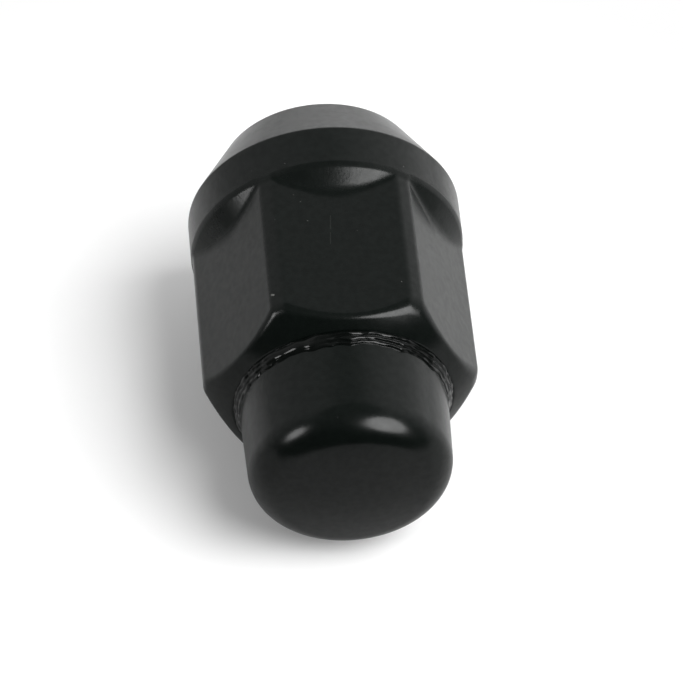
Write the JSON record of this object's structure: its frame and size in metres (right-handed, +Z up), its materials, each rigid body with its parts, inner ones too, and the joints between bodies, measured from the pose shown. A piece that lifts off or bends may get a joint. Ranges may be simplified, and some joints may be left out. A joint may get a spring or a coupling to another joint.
{
  "type": "lug nut",
  "caption": "Closed-end lug nut: a hex with a cone seat and a round bulge, tapped for a wheel stud, with a domed cap welded over its outer end, in black coated steel.",
  "frame": {"origin": "middle of the base of the nut's box: the nut lies on its side on a surface at Z = 0", "axes": "+Z up; the nut's length runs along Y, cone seat towards +Y and cap towards -Y, and its axis dips 5 degrees towards the cap; +X across a pair of hex corners"},
  "size_m": [0.0216, 0.034, 0.0218],
  "materials": {
    "body_coating": "black satin coat over forged steel, slightly uneven",
    "cap_coating": "black satin coat over drawn steel",
    "weld_coating": "black gloss coat over rough weld metal"
  },
  "bodies": {
    "root": {"nut_body": "body_coating", "end_cap": "cap_coating", "weld_bead": "weld_coating"}
  },
  "joints": []
}
